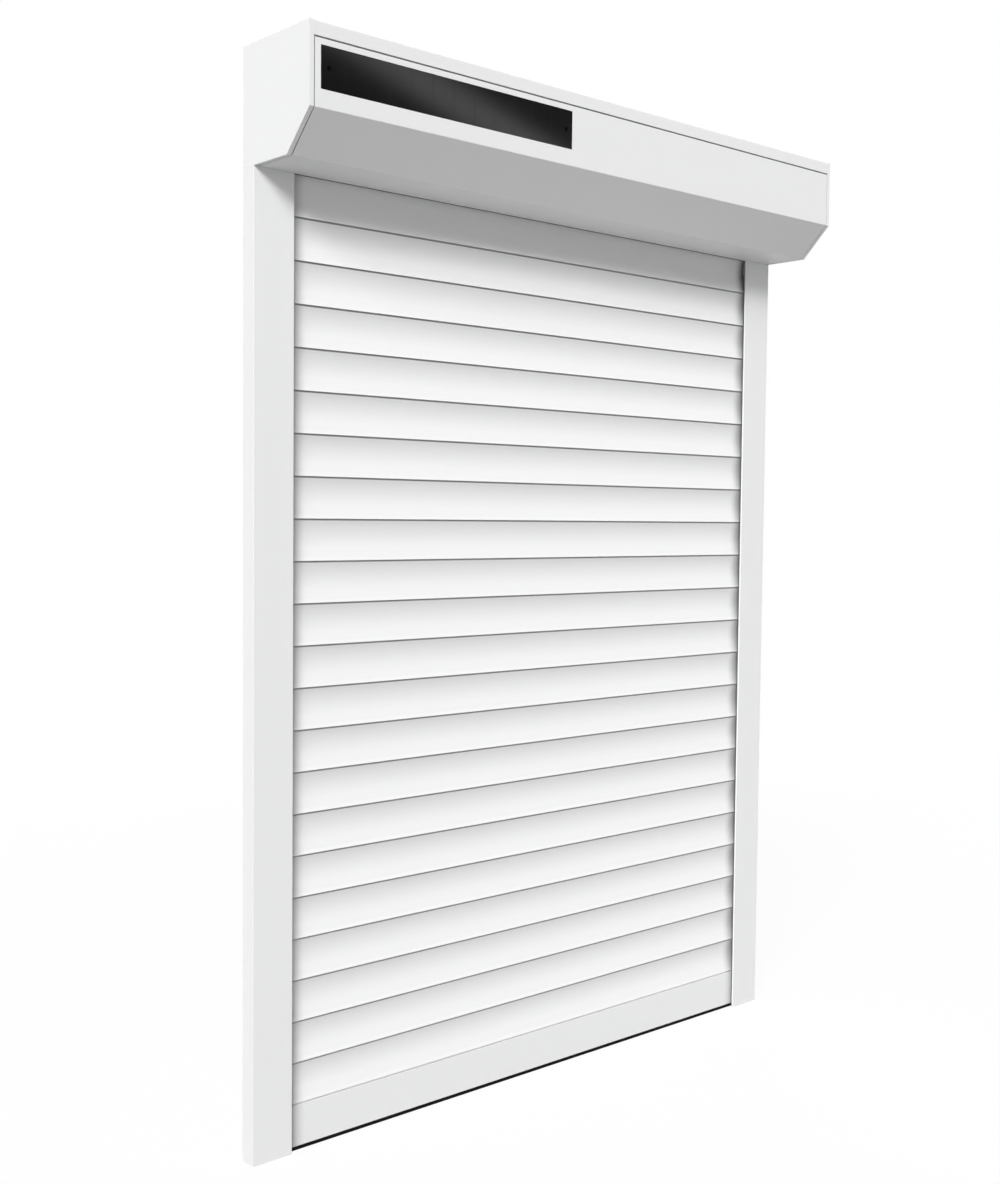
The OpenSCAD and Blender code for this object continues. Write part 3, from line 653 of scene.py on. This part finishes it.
# Bracket screws: cold-headed steel screws, zinc-plated, with a low pan head and a cross recess. Four in
# each bracket are driven into bosses on the cast end caps.
bracket_plate = 3 * mm
off_tube = 24 * mm
spots, aims = [], []
for sign in (-1, 1):
    for y in (tube_at.y - off_tube, tube_at.y + off_tube):
        for z in (tube_at.z - off_tube, tube_at.z + off_tube):
            spots.append((sign * (inner_x - bracket_plate), y, z))
            aims.append((-sign, 0, 0))
add_piece(grown(screw_maker, "bracket_screw_set", {
    "Head radius": 4 * mm, "Top radius": 3.1 * mm, "Head height": 2.5 * mm, "Proud": 2.5 * mm,
    "Shank radius": 2.2 * mm, "Shank length": 6.4 * mm, "Material": zinc_screw,
}, spots, aims), "frame", "zinc_steel", "bracket_screws")

# Tubular motor: a dark plastic head held in the left bracket, a drawn steel tube, and a turned output
# shaft that ends in a square.
black_plastic = moulded(
    "black_plastic", (0.012, 0.012, 0.013), (0.022, 0.022, 0.024), 0.42, 1200.0, 0.03 * mm
)
motor_steel = drawn_metal(
    "motor_steel", (0.56, 0.57, 0.58), (0.70, 0.71, 0.72), 0.30, (0.02, 1, 1), 500.0
)
lathe_lines = (1, 0.1, 0.1)
turned_steel = drawn_metal(
    "turned_steel", (0.50, 0.50, 0.51), (0.64, 0.64, 0.65), 0.24, lathe_lines, 1500.0
)
add_eased("motor_head", black_plastic, 0.5 * mm, "frame", "black_plastic")
add_eased("motor_tube", motor_steel, 0.4 * mm, "frame", "motor_steel")
add_eased("motor_output_shaft", turned_steel, 0.3 * mm, "winder", "motor_steel")

# Winding tube: an eight-sided galvanised steel tube, roll-formed, with soft corners, that turns round the
# motor on the crown at its left end and on the drive wheel inside.
tube_steel = zinc_plate("tube_steel", (0.54, 0.55, 0.56), (0.68, 0.69, 0.70), 0.44)
tube_left, tube_right = (end[0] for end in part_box("winding_tube"))
tube_flats, tube_wall, tube_bend = 40 * mm, 0.7 * mm, 2.4 * mm


def eight_sided(flats, bend):
    """The outline of the tube's outer or inner face, by its width across the flats."""
    ring = [math.radians(22.5 + 45 * k) for k in range(8)]
    tip = flats / 2 / math.cos(math.radians(22.5))
    corners = [(tube_at.y + tip * math.cos(a), tube_at.z + tip * math.sin(a)) for a in ring]
    return rounded(corners, [bend] * 8, 4)


outer = eight_sided(tube_flats, tube_bend)
inner = eight_sided(tube_flats - 2 * tube_wall, tube_bend - tube_wall)
bm = bmesh.new()
drawn_out(bm, outer, "X", tube_left, tube_right, inner)
add_piece(settle(bm, "winding_tube_shell", tube_steel, 50), "winder", "zinc_steel", "winding_tube")
add_eased("motor_crown", black_plastic, 0.3 * mm, "winder", "black_plastic")
add_eased("drive_wheel", black_plastic, 0.3 * mm, "winder", "black_plastic")

# Idler end: a black plastic plug in the tube's right end, with a turned steel pin that runs in the
# ball bearing.
add_eased("idler_plug", black_plastic, 0.3 * mm, "winder", "black_plastic")
add_eased("idler_pin", turned_steel, 0.5 * mm, "winder", "bearing_steel")

# Ball bearing: ground steel rings with a ball groove and eight polished balls between them, pressed
# into the right bracket.
bearing_steel = drawn_metal(
    "bearing_steel", (0.60, 0.60, 0.61), (0.70, 0.70, 0.71), 0.18, lathe_lines, 1500.0
)
dress(bearing_steel, "bearing_outer_ring", "bearing_inner_ring")
ball_maker, given = new_tree("ball_maker", {"Ball radius": "Float", "Material": "Material"})
ball = ball_maker.node("GeometryNodeMeshUVSphere", {}, {
    "Segments": 20, "Rings": 10, "Radius": given["Ball radius"],
})
points = ball_maker.node("GeometryNodeMeshToPoints", {}, {0: given["Geometry"]})
balls = ball_maker.node("GeometryNodeInstanceOnPoints", {}, {"Points": points, "Instance": ball})
close_tree(ball_maker, balls, given["Material"])
ball_x, ball_ring = 435 * mm, 10 * mm
spots = []
for k in range(8):
    lean = math.radians(45 * k)
    spots.append((ball_x, tube_at.y + ball_ring * math.cos(lean), tube_at.z + ball_ring * math.sin(lean)))
add_piece(grown(ball_maker, "bearing_ball_set", {
    "Ball radius": 2.48 * mm, "Material": bearing_steel,
}, spots), "frame", "bearing_steel", "bearing_balls")

# Hanger rings: black plastic rings clamped round the winding tube, each with a cross bar that a strap
# clips on to.
add_eased("hanger_rings", black_plastic, 0.4 * mm, "winder", "black_plastic")


# Battery pack: round lithium cells in a row in a shrunk plastic sleeve, which draws in slightly between
# the cells, held under the top of the box by two sprung plastic clips.
def turned_along(bm, stations, centre, sides=48):
    """Adds a closed turned shape about an X axis, from stations of length and radius."""
    leans = [2 * math.pi * k / sides for k in range(sides)]
    rings = []
    for x, radius in stations:
        circle = [(centre[0] + radius * math.cos(a), centre[1] + radius * math.sin(a)) for a in leans]
        rings.append([bm.verts.new((x, y, z)) for y, z in circle])
    for one, other in zip(rings, rings[1:]):
        for k in range(sides):
            j = (k + 1) % sides
            bm.faces.new((one[k], one[j], other[j], other[k]))
    bm.faces.new(rings[0])
    bm.faces.new(rings[-1])


pack_low, pack_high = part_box("battery_pack")
pack_at = ((pack_low[1] + pack_high[1]) / 2, (pack_low[2] + pack_high[2]) / 2)
pack_r = 9.5 * mm
cells = 6
cell = (pack_high[0] - pack_low[0]) / cells
shoulders = 2.2 * mm
end_curve = [(0, 7.2 * mm), (0.3 * mm, 8.6 * mm), (1.2 * mm, 9.3 * mm)]
waist = [(-0.9 * mm, 9.15 * mm), (0, 9.02 * mm), (0.9 * mm, 9.15 * mm)]
stations = [(pack_low[0] + x, radius) for x, radius in end_curve]
for k in range(cells):
    start, end = pack_low[0] + k * cell, pack_low[0] + (k + 1) * cell
    stations += [(start + shoulders, pack_r), (end - shoulders, pack_r)]
    if k < cells - 1:
        stations += [(end + x, radius) for x, radius in waist]
stations += [(pack_high[0] - x, radius) for x, radius in reversed(end_curve)]
battery_sleeve = moulded(
    "battery_sleeve", (0.028, 0.075, 0.05), (0.04, 0.095, 0.065), 0.28, 160.0, 0.06 * mm
)
bm = bmesh.new()
turned_along(bm, stations, pack_at)
add_piece(settle(bm, "battery_pack_sleeve", battery_sleeve, 60), "frame", "battery_sleeve", "battery_pack")
add_eased("battery_clips", black_plastic, 0.3 * mm, "frame", "black_plastic")


# Leads: two round rubber leads inside the box, one from the battery and one from the panel's connector,
# both held in the motor head.
def lead_mesh(name, route, radius, material):
    """A round lead along a smooth curve near the points of its route."""
    path = bpy.data.curves.new(name, "CURVE")
    path.dimensions = "3D"
    path.bevel_depth = radius
    path.bevel_resolution = 4
    path.use_fill_caps = True
    path.resolution_u = 8
    line = path.splines.new("NURBS")
    line.points.add(len(route) - 1)
    for point, spot in zip(line.points, route):
        point.co = (*spot, 1)
    line.order_u = 3
    line.use_endpoint_u = True
    holder = bpy.data.objects.new(name, path)
    bpy.context.scene.collection.objects.link(holder)
    bpy.context.view_layer.update()
    made = bpy.data.meshes.new_from_object(holder.evaluated_get(bpy.context.evaluated_depsgraph_get()))
    bpy.data.objects.remove(holder)
    bm = bmesh.new()
    bm.from_mesh(made)
    bpy.data.meshes.remove(made)
    bmesh.ops.remove_doubles(bm, verts=bm.verts, dist=0.001 * mm)
    return settle(bm, name, material, 60)


lead_rubber = moulded("lead_rubber", (0.016, 0.016, 0.017), (0.028, 0.028, 0.03), 0.5, 700.0, 0.04 * mm)
lead_r = 1.7 * mm
turn_x = -431.5 * mm
route = [
    (pack_low[0] + 0.5 * mm, *pack_at), (pack_low[0] - 40 * mm, *pack_at), (turn_x + 30 * mm, *pack_at),
    (turn_x + 8 * mm, *pack_at), (turn_x, *pack_at), (turn_x, pack_at[0] + 9 * mm, pack_at[1] - 6 * mm),
    (turn_x, -89 * mm, tube_at.z + 26 * mm), (turn_x, -79 * mm, tube_at.z + 16 * mm),
    (turn_x, -76 * mm, tube_at.z + 13 * mm),
]
battery_lead = lead_mesh("battery_lead_cable", route, lead_r, lead_rubber)
add_piece(battery_lead, "frame", "black_rubber", "battery_lead")
add_eased("charge_lead", lead_rubber, 0.25 * mm, "frame", "black_rubber")

# Slats: 22 roll-formed aluminium slats, painted white. Each is a hollow curved band whose lower lip stands
# forward over the next slat, with a round-headed tongue on top and a groove below that hook together.
slats = 22
pitch = 48.7 * mm
slat_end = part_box("slat_01")[1][0]
bar_top = sill + 54.5 * mm
half = 23.55 * mm
shoulder = 23.15 * mm
bow_r = 52 * mm
bow_at = Vector((-10.5 * mm - bow_r, 3 * mm))
lean = math.radians(13)
flare_r = 26 * mm
flare_top = -18 * mm
thick = 3.8 * mm


def painted_guide_shade(root):
    """Painted shade: fades in to grey towards both ends, beside the guides, the left one more."""
    askew = 4 * mm
    fade = 19 * mm
    return root.node("ShaderNodeMapRange", {"interpolation_type": "SMOOTHSTEP"}, {
        "Value": root.sum("ABSOLUTE", coordinate(root, "X") - askew, 0.0),
        "From Min": guide_in - fade, "From Max": guide_in + askew, "To Min": 0.0, "To Max": 0.8,
    })


def joint_and_guide_shade(root):
    """1 in the joints and beside the guides: painted shade, a grey that darkens the joint lines and the
    slat ends.
    """
    z = coordinate(root, "Z")
    turn = root.sum("FRACT", (z - bar_top + (half - shoulder) / 2) * (1 / pitch) + 0.5, 0.0)
    off = root.sum("ABSOLUTE", turn - 0.5, 0.0)
    joint = root.sum("LESS_THAN", off, (pitch - half - shoulder + 0.04 * mm) / 2 / pitch)
    return root.sum("MAXIMUM", joint, painted_guide_shade(root))


level_lines = (0.01, 1, 1)
# Painted shade: the joints and the ends beside the guides are painted grey.
white_slat = powder_coat(
    "white_slat", (0.855, 0.857, 0.858), (0.872, 0.873, 0.874), 600.0, level_lines, 0.8, joint_and_guide_shade, 0.36
)


def bowed(centre, radius, z):
    """The point at a height on a hollow face that is round about a line in front of the slat."""
    return (centre.x + math.sqrt(radius ** 2 - (z - centre.y) ** 2), z)


def face(radius, z):
    """The point of the front or rear face at a height: a bow above, a straight slope below."""
    knee = bow_at + radius * Vector((math.cos(lean), -math.sin(lean)))
    if z < knee.y:
        return (knee.x - (knee.y - z) * math.tan(lean), z)
    return bowed(bow_at, radius, z)


hook = -13.13 * mm
front_r = bow_r
back_r = bow_r + thick
front_knee = face(front_r, bow_at.y - front_r * math.sin(lean))
back_knee = face(back_r, bow_at.y - back_r * math.sin(lean))
top = face(front_r, shoulder)
flare = face(front_r, flare_top)
flare_at = Vector(flare) - flare_r * Vector((math.cos(lean), -math.sin(lean)))
flare_middle = bowed(flare_at, flare_r, (flare_top - half) / 2)
lip_front = bowed(flare_at, flare_r, -half)
low_rear = face(back_r, -half)
top_rear = face(back_r, shoulder)
slot_a = (hook - 0.31 * mm, -half)
slot_b = (hook - 0.7 * mm, -half + 1.617 * mm)
slot_c = (hook + 1.05 * mm, -half + 1.86 * mm)
slot_d = (hook + 1.39 * mm, -half)
slot_high = (hook, -half + 4.55 * mm)
neck_a = (hook + 0.67 * mm, shoulder)
neck_b = (hook + 0.5 * mm, half + 3.51 * mm)
neck_c = (hook - 0.5 * mm, half + 3.51 * mm)
neck_d = (hook - 0.5 * mm, shoulder + 0.05 * mm)
neck_high = (hook, half + 5.8 * mm)
runs = [
    (top, face(front_r, bow_at.y), front_knee), (front_knee, flare), (flare, flare_middle, lip_front),
    (lip_front, slot_a), (slot_a, slot_b), (slot_b, slot_high, slot_c), (slot_c, slot_d),
    (slot_d, low_rear), (low_rear, back_knee), (back_knee, face(back_r, bow_at.y), top_rear),
    (top_rear, neck_a), (neck_a, neck_b), (neck_b, neck_high, neck_c), (neck_c, neck_d), (neck_d, top),
]
slat_maker, given = new_tree("slat_maker", {
    "Half length": "Float", "Height": "Float", "Lip radius": "Float", "Material": "Material",
})
curves = []
for run in runs:
    flat = [(-y, -z, 0) for y, z in run]
    if len(run) == 2:
        line = {"Start": flat[0], "End": flat[1]}
        curves.append(slat_maker.node("GeometryNodeCurvePrimitiveLine", {}, line))
    else:
        steps = 24 if abs(run[0][1] - run[2][1]) > 10 * mm else 10
        arc = {"Resolution": steps, "Start": flat[0], "Middle": flat[1], "End": flat[2]}
        curves.append(slat_maker.node("GeometryNodeCurveArc", {"mode": "POINTS"}, arc))
loop = slat_maker.node("GeometryNodeJoinGeometry", {}, {0: curves})
loop = slat_maker.node("GeometryNodeCurveToMesh", {}, {"Curve": loop})
loop = slat_maker.node("GeometryNodeMergeByDistance", {}, {0: loop, "Distance": 0.01 * mm})
loop = slat_maker.node("GeometryNodeMeshToCurve", {}, {0: loop})
place = slat_maker.node("GeometryNodeInputPosition", {}, {})
y_flat = slat_maker.node("ShaderNodeSeparateXYZ", {}, {"Vector": place}, "X")
z_flat = slat_maker.node("ShaderNodeSeparateXYZ", {}, {"Vector": place}, "Y")
at_lip = slat_maker.sum("GREATER_THAN", z_flat, half - 0.05 * mm)
in_front = slat_maker.sum("GREATER_THAN", y_flat, 14.5 * mm)
loop = slat_maker.node("GeometryNodeFilletCurve", {"mode": "POLY"}, {
    "Curve": loop, "Count": 4, "Radius": at_lip * in_front * given["Lip radius"], "Limit Radius": True,
})
left = slat_maker.node("ShaderNodeCombineXYZ", {}, {"X": 0.0 - given["Half length"]})
right = slat_maker.node("ShaderNodeCombineXYZ", {}, {"X": given["Half length"]})
rail = slat_maker.node("GeometryNodeCurvePrimitiveLine", {}, {"Start": left, "End": right})
band = slat_maker.node("GeometryNodeCurveToMesh", {}, {
    "Curve": rail, "Profile Curve": loop, "Fill Caps": True,
})
lifted = slat_maker.node("ShaderNodeCombineXYZ", {}, {"Z": given["Height"]})
band = slat_maker.node("GeometryNodeTransform", {}, {0: band, "Translation": lifted})
close_tree(slat_maker, band, given["Material"])
for k in range(1, slats + 1):
    name = "slat_%02d" % k
    mesh = grown(slat_maker, name + "_band", {
        "Half length": slat_end, "Height": bar_top + (slats - k + 0.5) * pitch, "Lip radius": 0.7 * mm,
        "Material": white_slat,
    })
    band = add_piece(mesh, "body_" + name, "white_slat", name)
    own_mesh(band)

# Hanger straps: blued spring steel strips with a rolled clip at each end, from the rings on the tube down
# to the top slat.
spring_steel = drawn_metal(
    "spring_steel", (0.16, 0.18, 0.22), (0.26, 0.29, 0.34), 0.30, (1, 0.05, 0.05), 900.0
)
straps = add_eased("hanger_straps", spring_steel, 0.1 * mm, "body_slat_01", "spring_steel")
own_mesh(straps)

# Bottom bar: a stiff flat aluminium profile, powder-coated white, that closes the curtain. Its tongue
# hooks into the lowest slat and closes up with it, and a groove below takes the seal.
# Painted shade: the bar's ends beside the guides fade to grey.
white_bar = powder_coat("white_bar", coat_dark, coat_pale, 520.0, level_lines, 1.2, painted_guide_shade, 0.36)
bar_low = sill + 4.5 * mm
bar_high = bar_top - 0.8 * mm
bar_front, bar_rear = (side[1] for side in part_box("bottom_bar"))
middle = (bar_front + bar_rear) / 2


def groove(mouth, wide, low, high):
    """The groove's outline from its front to its rear edge: a narrow mouth and a wider slot over it."""
    front = [(-mouth, 0), (-mouth, low), (-wide, low), (-wide, high)]
    rear = [(-y, z) for y, z in reversed(front)]
    return [(middle + y, bar_low + z) for y, z in front + rear]


corners = [(bar_front, bar_low), *groove(1.5 * mm, 2.9 * mm, 1.4 * mm, 4.2 * mm)]
corners += [(bar_rear, bar_low), (bar_rear, bar_high), (bar_front, bar_high)]
radii = [0.5 * mm] + [0] * 8 + [0.5 * mm, 1.0 * mm, 0.4 * mm]
bm = bmesh.new()
drawn_out(bm, rounded(corners, radii), "X", -slat_end, slat_end)
add_piece(settle(bm, "bottom_bar_profile", white_bar), "bottom_rail", "white_profile", "bottom_bar")
corners = [
    (hook + 0.67 * mm, bar_high - 0.3 * mm), (hook + 0.5 * mm, bar_high + 3.6 * mm),
    (hook + 1.2 * mm, bar_high + 4.6 * mm), (hook + 0.6 * mm, bar_high + 5.7 * mm),
    (hook - 0.6 * mm, bar_high + 5.7 * mm), (hook - 1.2 * mm, bar_high + 4.6 * mm),
    (hook - 0.5 * mm, bar_high + 3.6 * mm), (hook - 0.33 * mm, bar_high - 0.3 * mm),
]
radii = [0, 0.4 * mm] + [0.5 * mm] * 4 + [0.4 * mm, 0]
bm = bmesh.new()
drawn_out(bm, rounded(corners, radii), "X", -slat_end, slat_end)
tongue = add_piece(settle(bm, "bottom_bar_tongue", white_bar), "bottom_rail", "white_profile")
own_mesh(tongue)

# Bottom seal: an extruded black rubber strip. A foot sits in the bar's groove, and a soft lip closes on
# the sill.
black_rubber = moulded(
    "black_rubber", (0.002, 0.002, 0.002), (0.006, 0.006, 0.006), 0.72, 800.0, 0.05 * mm, 0.08
)
seal_front, seal_rear = bar_front + 0.1 * mm, bar_rear - 0.4 * mm
foot = reversed(groove(1.4 * mm, 2.7 * mm, 1.5 * mm, 4 * mm))
corners = [(seal_front, sill), (seal_rear, sill), (seal_rear, bar_low), *foot, (seal_front, bar_low)]
radii = [0.5 * mm, 0.5 * mm, 0.3 * mm] + [0] * 8 + [0.3 * mm]
bm = bmesh.new()
drawn_out(bm, rounded(corners, radii), "X", -slat_end, slat_end)
add_piece(settle(bm, "bottom_seal_strip", black_rubber), "bottom_rail", "black_rubber", "bottom_seal")

# Front access cover: one bent sheet of white powder-coated aluminium that makes the front, the slanted
# face and the bottom of the box, with a window for the panel and a hem along its rear edge.
cover_x = inner_x - 1.4 * mm
cover_top = lip_low - 1.7 * mm
cover_rear = -19 * mm
hem_low, hem_high = box_low + 0.6 * mm, box_low + 5 * mm
path = [
    (cover_rear, box_low), (box_front + cut, box_low), (box_front, box_low + cut), (box_front, cover_top),
]
bm = bmesh.new()
drawn_out(bm, bent_sheet(path, sheet, sheet_bend, sheet_edge), "X", -cover_x, cover_x)
hem = [
    (cover_rear, hem_low), (cover_rear, hem_high),
    (cover_rear - sheet, hem_high), (cover_rear - sheet, hem_low),
]
drawn_out(bm, rounded(hem, [0, 0.4 * mm, 0.4 * mm, 0]), "X", -fold_x, fold_x)
cover = settle(bm, "front_access_cover_sheet", white_sheet)
panel_low, panel_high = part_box("solar_panel")
gap = 0.4 * mm
window_left, window_right = panel_low[0] - gap, panel_high[0] + gap
window_low, window_high = panel_low[2] - gap, panel_high[2] + gap
window = [
    (window_left, window_low), (window_right, window_low),
    (window_right, window_high), (window_left, window_high),
]
bm = bmesh.new()
drawn_out(bm, rounded(window, [0.8 * mm] * 4), "Y", box_front - 2 * mm, box_front + 2.5 * mm)
cover = cut_from(cover, settle(bm, "panel_window", white_sheet))
add_piece(cover, "access_cover", "white_sheet", "front_access_cover")

# Solar panel: dark silicon cells under a coated glass plate, flush in the window, in a black plastic tray
# with a connector on its back.
solar_glass, root, shader = surface("solar_glass", {"Specular IOR Level": 0.06})
cell_wide = 30 * mm
along = root.sum("FRACT", (coordinate(root, "X") - panel_low[0]) * (1 / cell_wide), 0.0)
seam = root.sum("LESS_THAN", along, 0.025)
clouds = grain(root, 30.0, 3.0)
between(root, clouds, (0.002, 0.002, 0.0025), (0.004, 0.004, 0.005)).into(shader, "Base Color")
(0.05 + 0.03 * clouds + 0.05 * seam).into(shader, "Roughness")
add_eased("solar_panel", solar_glass, 0.35 * mm, "access_cover", "solar_glass")
add_eased("solar_panel_tray", black_plastic, 0.3 * mm, "access_cover", "black_plastic")
add_eased("panel_connector", black_plastic, 0.3 * mm, "access_cover", "black_plastic")

# Panel screws: two small black countersunk screws near the ends of the panel, through the glass plate's
# holes into the tray.
black_screw = moulded(
    "black_screw", (0.001, 0.001, 0.001), (0.003, 0.003, 0.003), 0.6, 900.0, 0.02 * mm, 0.02
)
from_end = 10 * mm
panel_middle = (panel_low[2] + panel_high[2]) / 2
spots = [(x, box_front, panel_middle) for x in (panel_low[0] + from_end, panel_high[0] - from_end)]
add_piece(grown(screw_maker, "panel_screw_set", {
    "Head radius": 1.6 * mm, "Top radius": 2.6 * mm, "Head height": 1.0 * mm, "Proud": 0.0,
    "Shank radius": 1.4 * mm, "Shank length": 2.5 * mm, "Material": black_screw,
}, spots, [(0, -1, 0)] * 2), "access_cover", "black_screws", "solar_panel_screws")
